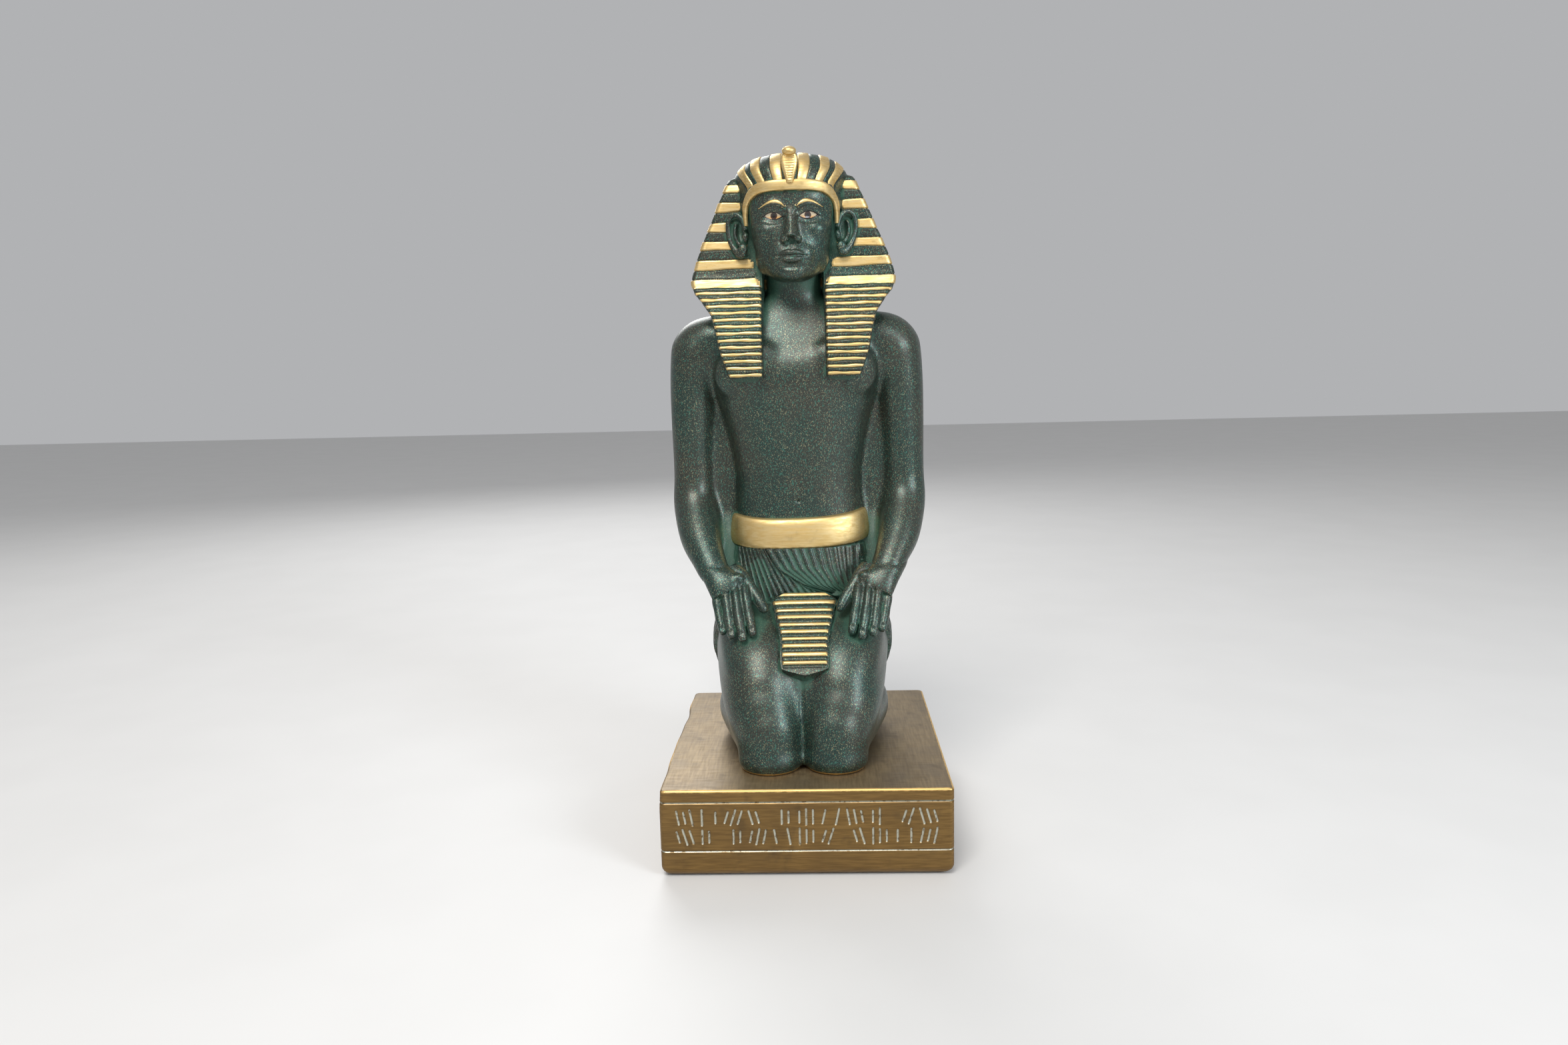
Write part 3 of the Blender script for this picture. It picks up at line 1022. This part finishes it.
def plinth_piece():
    width, depth = ((PLINTH_HIGH[i] - PLINTH_LOW[i]) / MM for i in range(2))
    height = PLINTH_HIGH[2] / MM
    foot_turns, top_turns = (np.linspace(0, math.pi / 2, count) for count in (10, 8))
    levels = [(FOOT_ROUND * (1 - math.cos(a)), FOOT_ROUND * (1 - math.sin(a))) for a in foot_turns]
    levels += [(z, 0) for z in np.arange(FOOT_ROUND + 0.5, height - TOP_ROUND, 0.28)]
    levels += [(height - TOP_ROUND * (1 - math.sin(a)), TOP_ROUND * (1 - math.cos(a))) for a in top_turns]
    levels += [(height, inset) for inset in (1.6, 2.6, 4, 6, 9, 13, 18, 24, 31, 39, 47)]
    levels = [(0, 47), (0, 31), (0, 18), (0, 9)] + levels
    levels = np.array(levels)
    front, flank, back, corner = 380, 70, 50, 8
    counts = [front, corner, flank, corner, back, corner, flank, corner]
    sides = sum(counts)

    def outline(turn, inset):
        """A walk round the oblong from the front's left end, as x and y."""
        ends = np.cumsum([0] + counts)
        part = np.searchsorted(ends, turn, side="right") - 1
        share = (turn - ends[part]) / np.array(counts)[part]
        half_x, half_y = width / 2 - inset, depth / 2 - inset
        fx, fy = np.maximum(half_x - CORNER_ROUND, 0), np.maximum(half_y - CORNER_ROUND, 0)
        quarter = share * math.pi / 2
        bend, rest = CORNER_ROUND * np.sin(quarter), CORNER_ROUND * np.cos(quarter)
        walks = [
            (-fx + 2 * fx * share, -half_y), (fx + bend, -fy - rest),
            (half_x, -fy + 2 * fy * share), (fx + rest, fy + bend),
            (fx - 2 * fx * share, half_y), (-fx - bend, fy + rest),
            (-half_x, fy - 2 * fy * share), (-fx - rest, -fy - bend),
        ]
        x, y = np.zeros(len(turn)), np.zeros(len(turn))
        for i, (walk_x, walk_y) in enumerate(walks):
            x = np.where(part == i, walk_x, x)
            y = np.where(part == i, walk_y, y)
        return x, y

    def place(row, turn):
        z, inset = levels[row].T
        x, y = outline(turn, inset)
        return np.column_stack([x, y, z])

    piece = wrapped("plinth_block", len(levels), sides, place)[0]
    spots, normals = spots_of(piece), normals_of(piece)
    x, y, z = spots.T
    wall = (z > FOOT_ROUND) & (z < height - TOP_ROUND)
    line = np.minimum(np.abs(z - LOWER_LINE_RISE), np.abs(z - height + UPPER_LINE_DROP))
    line_cut = wall * np.clip(1 - (line / LINE_HALF) ** 2, 0, 1)
    on_front = wall & (y < -depth / 2 + 0.5)
    flat = np.column_stack([x, np.zeros(len(x)), z])
    nearest = np.full(len(x), np.inf)
    for stroke in strokes(width, height):
        close = on_front & (np.abs(x - (stroke[0][0] + stroke[1][0]) / 2) < 6)
        nearest[close] = np.minimum(nearest[close], path_distance(flat[close], stroke))
    stroke_cut = np.clip(1 - (nearest / (STROKE_WIDTH / 2)) ** 2, 0, 1) * on_front
    cut = np.maximum(line_cut * LINE_DEPTH, stroke_cut * STROKE_DEPTH)
    spots -= normals * cut[:, None]
    # The left top edge is wavy, with a slight dent towards its back
    left = smoothstep(0.75, 1, -x / (width / 2)) * smoothstep(height - 9, height, z)
    waves = 0.22 * np.sin(y * 0.11 + 0.6) + 0.1 * np.sin(y * 0.27) + 1.0 * np.exp(-(((y - 26) / 10) ** 2))
    spots[:, 0] += left * (0.35 + waves)
    put(piece, spots)
    paint(piece, "groove", np.maximum(line_cut, stroke_cut))
    to_side = np.minimum(width / 2 - np.abs(x), depth / 2 - np.abs(y))
    paint(piece, "edge", smoothstep(1.6, 0.2, np.hypot(np.maximum(height - z, 0), to_side)))
    thin_to(piece, PLINTH_TRIANGLES)
    return piece


# Recesses
def blurred(field, radius, passes=3):
    """A grid of values spread evenly over nearby cells along each axis, a few times."""
    for axis in range(3):
        for _ in range(passes):
            total = np.cumsum(field, axis=axis)
            field = (np.roll(total, -radius, axis) - np.roll(total, radius + 1, axis)) / (2 * radius + 1)
            edge = [slice(None)] * 3
            for cut in (slice(0, radius + 1), slice(field.shape[axis] - radius, None)):
                edge[axis] = cut
                field[tuple(edge)] = 0
    return field


def grid_sampler(field, low, cell):
    """Reads a grid of values between its cells."""
    def sample(spots):
        place = (spots - low) / cell - 0.5
        base = np.clip(np.floor(place).astype(int), 0, np.array(field.shape) - 2)
        part = np.clip(place - base, 0, 1)
        value = np.zeros(len(spots))
        for corner in np.ndindex(2, 2, 2):
            at = base + np.array(corner)
            value += np.prod(np.where(corner, part, 1 - part), axis=1) * field[at[:, 0], at[:, 1], at[:, 2]]
        return value

    return sample


def mean_field(spots, values, cell, passes):
    """A grid of the mean of values that are known at scattered spots."""
    low = spots.min(axis=0) - 5 * cell
    size = np.ceil((spots.max(axis=0) + 5 * cell - low) / cell).astype(int)
    at = np.ravel_multi_index(((spots - low) / cell).astype(int).T, size)
    many = blurred(np.bincount(at, minlength=size.prod()).reshape(size).astype(float), 1, passes)
    total = blurred(np.bincount(at, values, minlength=size.prod()).reshape(size), 1, passes)
    return grid_sampler(total / np.maximum(many, 1e-4), low, cell)


def samples_of(pieces, count):
    """Some spots and normals of each piece, and whether another piece covers them."""
    graph = bpy.context.evaluated_depsgraph_get()
    trees = [BVHTree.FromObject(piece, graph) for piece in pieces]
    boxes = [(spots_of(piece).min(axis=0), spots_of(piece).max(axis=0)) for piece in pieces]
    step = sum(len(piece.data.vertices) for piece in pieces) // count
    found = []
    for i, piece in enumerate(pieces):
        spots, normals = spots_of(piece)[::step], normals_of(piece)[::step]
        lifted = spots + normals * 0.25
        covered = np.zeros(len(spots))
        for j, (low, high) in enumerate(boxes):
            if i == j:
                continue
            for k in np.flatnonzero(((lifted > low) & (lifted < high)).all(axis=1) & (covered == 0)):
                place = Vector(lifted[k]) * MM
                nearest, way = trees[j].find_nearest(place)[:2]
                covered[k] = (place - nearest).dot(way) < 0
        found.append((spots, normals, covered))
    return found


def crevices(pieces, covers, cell=0.7, radius=1):
    """How much surface lies just in front of a point: 1 on an even face, more in a narrow hollow."""
    middles, areas = [], []
    for piece, cover_at in zip(pieces, covers):
        spots = spots_of(piece)
        piece.data.calc_loop_triangles()
        corners = np.empty(len(piece.data.loop_triangles) * 3, int)
        piece.data.loop_triangles.foreach_get("vertices", corners)
        a, b, c = spots[corners.reshape(-1, 3)].transpose(1, 0, 2)
        middle = (a + b + c) / 3
        seen = cover_at(middle) < 0.5
        areas.append((np.linalg.norm(np.cross(b - a, c - a), axis=1) / 2)[seen])
        middles.append(middle[seen])
    middles, areas = np.vstack(middles), np.concatenate(areas)
    low = middles.min(axis=0) - 8 * cell
    size = np.ceil((middles.max(axis=0) + 8 * cell - low) / cell).astype(int)
    at = np.ravel_multi_index(((middles - low) / cell).astype(int).T, size)
    field = np.bincount(at, areas, minlength=size.prod()).reshape(size) / cell**3
    sigma = cell * math.sqrt(((2 * radius + 1) ** 2 - 1) / 4)
    even = math.exp(-0.5) / (math.sqrt(2 * math.pi) * sigma)
    sample = grid_sampler(blurred(field, radius), low, cell)
    return lambda spots, normals: sample(spots + normals * sigma) / even


def shelter(samples, cad, cell=2.0, reach=16.0):
    """How much of the open space over a point the figure closes off, from rays cast at the solid's mesh."""
    cad.data.calc_loop_triangles()
    corners, triangles = cad.data.vertices, cad.data.loop_triangles
    tree = BVHTree.FromPolygons([v.co[:] for v in corners], [t.vertices[:] for t in triangles])
    spots, normals = (np.vstack([found[i][found[2] < 0.5] for found in samples]) for i in (0, 1))
    turns = np.arange(18)
    heights = (turns + 0.5) / len(turns)
    spin = turns * math.pi * (3 - math.sqrt(5))
    flat = np.sqrt(1 - heights)
    rays = np.column_stack([np.cos(spin) * flat, np.sin(spin) * flat, np.sqrt(heights)])
    closed = np.zeros(len(spots))
    for i, (spot, normal) in enumerate(zip(spots, normals)):
        out = Vector(normal)
        frame_of = out.to_track_quat("Z", "Y").to_matrix()
        start = FIGURE_PLACE @ (Vector(spot) * MM) + FIGURE_TURN @ out * (1.6 * MM)
        for ray in rays:
            way = FIGURE_TURN @ (frame_of @ Vector(ray))
            hit = tree.ray_cast(start, way, reach * MM)
            if hit[0] is not None and hit[1].dot(way) < 0:
                closed[i] += 1 - 0.6 * hit[3] / (reach * MM)
    sample = mean_field(spots + normals, closed / len(rays), cell, 3)
    return lambda spots, normals: sample(spots + normals)


# Materials
class Finish:
    """A Principled material with its nodes, in short calls."""

    def __init__(self, name, coat=0.0):
        self.material = bpy.data.materials.new(name)
        self.material.use_nodes = True
        self.nodes = self.material.node_tree.nodes
        self.links = self.material.node_tree.links
        self.shader = self.nodes["Principled BSDF"]
        self.shader.inputs["Coat Weight"].default_value = coat
        self.shader.inputs["Coat Roughness"].default_value = 0.34

    def node(self, kind, inputs=(), **settings):
        made = self.nodes.new(kind)
        for key, value in settings.items():
            setattr(made, key, value)
        for key, value in dict(inputs).items():
            self.feed(made.inputs[key], value)
        return made

    def feed(self, socket, value):
        if isinstance(value, bpy.types.NodeSocket):
            self.links.new(value, socket)
        else:
            socket.default_value = value

    def spots(self, stretch=(1, 1, 1)):
        where = self.node("ShaderNodeTexCoord").outputs["Object"]
        return self.node("ShaderNodeMapping", {"Vector": where, "Scale": stretch}).outputs["Vector"]

    def noise(self, size, detail=2.0, stretch=(1, 1, 1)):
        """Noise whose lumps are about `size` millimetres."""
        inputs = {"Vector": self.spots(stretch), "Scale": 1 / (size * MM), "Detail": detail}
        return self.node("ShaderNodeTexNoise", inputs).outputs["Fac"]

    def value(self, name):
        return self.node("ShaderNodeAttribute", attribute_name=name).outputs["Fac"]

    def ramp(self, value, low, high):
        inputs = {"Value": value, "From Min": low, "From Max": high}
        return self.node("ShaderNodeMapRange", inputs, interpolation_type="SMOOTHSTEP").outputs["Result"]

    def sum(self, kind, a, b):
        return self.node("ShaderNodeMath", {0: a, 1: b}, operation=kind).outputs[0]

    def ragged(self, value, size, detail, amount):
        """A value made uneven by noise, so that what it bounds has a hand-made edge."""
        uneven = self.sum("SUBTRACT", self.noise(size, detail), 0.5)
        return self.sum("ADD", value, self.sum("MULTIPLY", uneven, amount))

    def mix(self, share, a, b):
        a, b = ((*c, 1) if isinstance(c, tuple) else c for c in (a, b))
        made = self.node("ShaderNodeMix", data_type="RGBA")
        self.feed(made.inputs[0], share)
        self.feed(made.inputs[6], a)
        self.feed(made.inputs[7], b)
        return made.outputs[2]

    def blend(self, share, a, b):
        made = self.node("ShaderNodeMix", data_type="FLOAT")
        for i, value in enumerate((share, a, b)):
            self.feed(made.inputs[i if i == 0 else i + 1], value)
        return made.outputs[0]

    def flecks(self, size, level, seed, soft=0.035):
        """Small uneven flecks where a fine noise passes a level."""
        where = self.node("ShaderNodeTexCoord").outputs["Object"]
        shift = (seed, 0.3 * seed, 0.7 * seed)
        moved = self.node("ShaderNodeMapping", {"Vector": where, "Location": shift, "Scale": (1, 1, 0.75)})
        inputs = {"Vector": moved.outputs["Vector"], "Scale": 1 / (size * MM), "Detail": 0.6}
        fine = self.node("ShaderNodeTexNoise", inputs).outputs["Fac"]
        return self.ramp(fine, level - soft, level + soft)

    def bump(self, height, distance, strength=1.0):
        inputs = {"Height": height, "Distance": distance * MM, "Strength": strength}
        made = self.node("ShaderNodeBump", inputs)
        self.feed(self.shader.inputs["Normal"], made.outputs["Normal"])

    def finish(self, color, metallic, roughness):
        self.feed(self.shader.inputs["Base Color"], color)
        self.feed(self.shader.inputs["Metallic"], metallic)
        self.feed(self.shader.inputs["Roughness"], roughness)
        return self.material


def patina_color(f):
    """Green-black metal with teal and gold flecks, green in the recesses: colour, metallic, roughness."""
    drift = f.ramp(f.noise(28), 0.35, 0.65)
    tone = f.mix(drift, (0.034, 0.034, 0.027), (0.012, 0.034, 0.029))
    tone = f.mix(f.ramp(f.noise(0.34, 2), 0.45, 0.75), tone, (0.060, 0.076, 0.060))
    teal = f.flecks(0.50, 0.635, 3.0)
    tone = f.mix(f.sum("MULTIPLY", teal, 0.75), tone, (0.045, 0.165, 0.125))
    patchy = f.ramp(f.noise(9, 3), 0.3, 0.6)
    pale = f.sum("MULTIPLY", f.flecks(0.36, 0.655, 7.0), f.blend(patchy, 0.35, 0.9))
    tone = f.mix(pale, tone, (0.24, 0.235, 0.14))
    deep = f.sum("ADD", f.value("recess"), f.sum("MULTIPLY", f.noise(2.5, 4), 0.35))
    green = f.sum("MULTIPLY", f.ramp(deep, 0.26, 0.7), 0.9)
    tone = f.mix(f.sum("MULTIPLY", green, 0.75), tone, (0.032, 0.112, 0.072))
    metallic = f.blend(green, 0.55, 0.1)
    rough = f.blend(green, 0.36, 0.62)
    rough = f.sum("ADD", rough, f.sum("MULTIPLY", f.noise(0.8, 3), 0.1))
    return tone, metallic, rough


def gold_color(f, dull=0.0):
    """Gilding, browner where thin and dark in the recesses."""
    streak = f.noise(1.6, 4, (0.25, 1, 2.2))
    tone = f.mix(f.ramp(streak, 0.3, 0.7), (0.80, 0.61, 0.30), (0.64, 0.45, 0.18))
    thin = f.ramp(f.noise(3.2, 5), 0.55, 0.75)
    tone = f.mix(f.sum("MULTIPLY", thin, 0.4 + dull), tone, (0.42, 0.29, 0.12))
    deep = f.ramp(f.value("recess"), 0.35, 0.95)
    tone = f.mix(f.sum("MULTIPLY", deep, 0.85), tone, (0.10, 0.065, 0.02))
    return tone, f.blend(deep, 0.95, 0.7), f.blend(f.ramp(streak, 0.3, 0.7), 0.40, 0.52)


def patina():
    f = Finish("speckled patina", 0.3)
    color, metallic, rough = patina_color(f)
    line = f.ramp(f.ragged(f.value("joint"), 1.5, 3, 0.9), 0.4, 0.7)
    color = f.mix(line, color, (0.62, 0.42, 0.16))
    f.bump(f.noise(0.7, 3), 0.06, 0.5)
    return f.finish(color, f.blend(line, metallic, 0.9), rough)


def gilded_cloth():
    """Patina with the raised bands brushed gold, a little unevenly at their edges."""
    f = Finish("gilded cloth")
    dark = patina_color(f)
    gold = gold_color(f, 0.15)
    share = f.ramp(f.ragged(f.value("gold"), 0.9, 3, 0.9), 0.42, 0.58)
    f.bump(f.noise(0.7, 3), 0.06, 0.5)
    metallic, rough = (f.blend(share, dark[i], gold[i]) for i in (1, 2))
    return f.finish(f.mix(share, dark[0], gold[0]), metallic, rough)


def gilding():
    f = Finish("gilding")
    color, metallic, rough = gold_color(f)
    f.bump(f.noise(0.5, 3, (0.2, 1, 2)), 0.03, 0.4)
    return f.finish(color, metallic, rough)


def face_paint():
    """Patina with painted eyes: pale amber, a dark iris, and a dark line along the lids."""
    f = Finish("painted face", 0.3)
    tone, metallic, rough = patina_color(f)
    across, up, inside = (f.value(name) for name in ("eye_across", "eye_up", "eye"))
    squares = [f.sum("POWER", f.sum("ABSOLUTE", value, 0), 2) for value in (across, up)]
    away = f.sum("SQRT", f.sum("ADD", *squares), 0)
    white = f.mix(f.ramp(up, 0.3, -0.9), (0.70, 0.58, 0.40), (0.62, 0.33, 0.10))
    paint_tone = f.mix(f.ramp(away, 1.42, 1.28), white, (0.045, 0.016, 0.008))
    paint_tone = f.mix(f.ramp(away, 0.72, 0.6), paint_tone, (0.004, 0.004, 0.004))
    ragged = f.ragged(inside, 0.5, 2, 0.25)
    paint_tone = f.mix(f.ramp(ragged, 0.30, 0.12), paint_tone, (0.012, 0.010, 0.010))
    liner = f.ramp(ragged, -0.42, -0.22)
    tone = f.mix(liner, tone, paint_tone)
    f.bump(f.noise(0.7, 3), 0.05, 0.4)
    return f.finish(tone, f.blend(liner, metallic, 0.0), f.blend(liner, rough, 0.24))


def bronze():
    f = Finish("brushed bronze")
    streak = f.noise(0.8, 5, (0.1, 0.7, 1.6))
    tone = f.mix(f.ramp(streak, 0.3, 0.7), (0.25, 0.15, 0.05), (0.17, 0.10, 0.034))
    cloudy = f.sum("MULTIPLY", f.ramp(f.noise(14, 3, (0.5, 1, 1)), 0.4, 0.7), 0.45)
    tone = f.mix(cloudy, tone, (0.13, 0.08, 0.034))
    parts = f.node("ShaderNodeSeparateXYZ", {"Vector": f.node("ShaderNodeTexCoord").outputs["Object"]})
    top = f.ramp(parts.outputs["Z"], PLINTH_HIGH[2] - 0.0006, PLINTH_HIGH[2] - 0.0001)
    strokes_back = f.noise(0.9, 4, (1, 0.08, 1))
    beige = f.mix(f.ramp(strokes_back, 0.3, 0.7), (0.28, 0.208, 0.115), (0.21, 0.152, 0.082))
    beige = f.mix(f.sum("MULTIPLY", f.ramp(f.noise(16, 3), 0.4, 0.7), 0.5), beige, (0.155, 0.12, 0.08))
    tone = f.mix(top, tone, beige)
    smudge = f.ramp(f.noise(7, 5), 0.56, 0.74)
    tone = f.mix(f.sum("MULTIPLY", smudge, 0.4), tone, (0.08, 0.055, 0.03))
    edge = f.ramp(f.ragged(f.value("edge"), 2, 4, 0.7), 0.35, 0.8)
    tone = f.mix(edge, tone, (0.72, 0.47, 0.17))
    groove = f.value("groove")
    worn = f.ramp(f.noise(1.4, 4), 0.28, 0.5)
    pale = f.mix(worn, (0.12, 0.085, 0.045), (0.55, 0.56, 0.47))
    tone = f.mix(f.sum("MULTIPLY", f.ramp(groove, 0.25, 0.85), 0.85), tone, pale)
    rough = f.blend(f.ramp(streak, 0.3, 0.7), 0.34, 0.48)
    f.bump(f.noise(0.9, 4, (0.15, 0.6, 1.8)), 0.04, 0.4)
    return f.finish(tone, f.blend(top, 0.8, 0.6), rough)


# Making
def make_king():
    body, head, kilt = body_piece(), head_piece(), kilt_piece()
    hands = [hand_piece(side) for side in (-1, 1)]
    brows = [brow_piece(head, side) for side in (-1, 1)]
    lappets = [lappet_piece(side) for side in (-1, 1)]
    flaps = [flap_piece("kilt_under_flap", False, kilt), flap_piece("kilt_over_flap", True, kilt)]
    return {
        "patina": [body, *hands, kilt, *flaps], "face": [head],
        "cloth": [hood_piece(), *lappets, dome_piece(), tail_piece(), apron_piece()],
        "gilding": [*brows, forehead_band_piece(), cobra_piece(), belt_piece()],
    }


def settle(piece, material, node):
    piece.data.materials.clear()
    piece.data.materials.append(material)
    select(piece)
    bpy.ops.object.shade_smooth_by_angle(angle=math.radians(50))
    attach(piece, "root")
    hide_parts(node)


king = make_king()
king_pieces = [piece for group in king.values() for piece in group]
samples = samples_of(king_pieces, 16000)
covers = [mean_field(spots, covered, 1.6, 1) for spots, normals, covered in samples]
crevice_at = crevices(king_pieces, covers)
shelter_at = shelter(samples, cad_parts["figure"])
for piece in king_pieces:
    spots, normals = spots_of(piece), normals_of(piece)
    near, wide = crevice_at(spots, normals), shelter_at(spots, normals)
    recess = smoothstep(1.3, 2.4, near) * 0.65 + smoothstep(0.2, 0.6, wide) * 0.6
    paint(piece, "recess", np.clip(recess, 0, 1))
    piece.data.transform(FIGURE_PLACE)
finishes = {"patina": patina(), "cloth": gilded_cloth(), "gilding": gilding(), "face": face_paint()}
for group, pieces in king.items():
    for piece in pieces:
        settle(piece, finishes[group], "figure")
plinth = plinth_piece()
settle(plinth, bronze(), "plinth")


# Floor, light and camera
CAMERA_LENS, CAMERA_SENSOR = 24, 36
CAMERA_PLACE = (0.006532, -0.436169, 0.192202)
CAMERA_RIGHT, CAMERA_UP = (0.999294, 0.029348, -0.023438), (0.018908, 0.146124, 0.989086)


def add_stage():
    deselect()
    bpy.ops.mesh.primitive_plane_add(size=6)
    floor = bpy.context.active_object
    floor.name = "floor"
    f = Finish("pale floor")
    tone = f.mix(f.ramp(f.noise(60, 3), 0.3, 0.7), (0.635, 0.63, 0.62), (0.65, 0.645, 0.635))
    floor.data.materials.append(f.finish(tone, 0.0, 0.55))


def add_light(name, place, target, power, size, color):
    deselect()
    bpy.ops.object.light_add(type="AREA", location=place)
    light = bpy.context.active_object
    light.name = name
    light.rotation_euler = (Vector(target) - Vector(place)).to_track_quat("-Z", "Y").to_euler()
    light.data.energy = power
    light.data.size = size
    light.data.color = color


def add_world():
    world = bpy.data.worlds.new("studio")
    world.use_nodes = True
    world.node_tree.nodes["Background"].inputs["Color"].default_value = (0.80, 0.81, 0.83, 1)
    world.node_tree.nodes["Background"].inputs["Strength"].default_value = 0.55
    bpy.context.scene.world = world
    bpy.context.scene.view_settings.view_transform = "Standard"


def add_camera():
    camera = bpy.data.cameras.new("camera")
    camera.lens = CAMERA_LENS
    camera.sensor_width = CAMERA_SENSOR
    camera.clip_start = 0.01
    seen = bpy.data.objects.new("camera", camera)
    bpy.context.scene.collection.objects.link(seen)
    seen.location = CAMERA_PLACE
    right, up = Vector(CAMERA_RIGHT), Vector(CAMERA_UP)
    seen.rotation_euler = Matrix((right, up, right.cross(up))).transposed().to_euler()
    bpy.context.scene.camera = seen


add_stage()
add_world()
middle = (0, 0, 0.15)
add_light("key", (-0.2, -0.75, 1.1), middle, 12, 0.55, (1.0, 0.97, 0.93))
add_light("window", (0.8, -0.75, 0.55), middle, 7, 0.4, (0.86, 0.93, 1.0))
add_light("back", (-0.3, 0.9, 0.8), middle, 6, 0.6, (1, 1, 1))
add_camera()
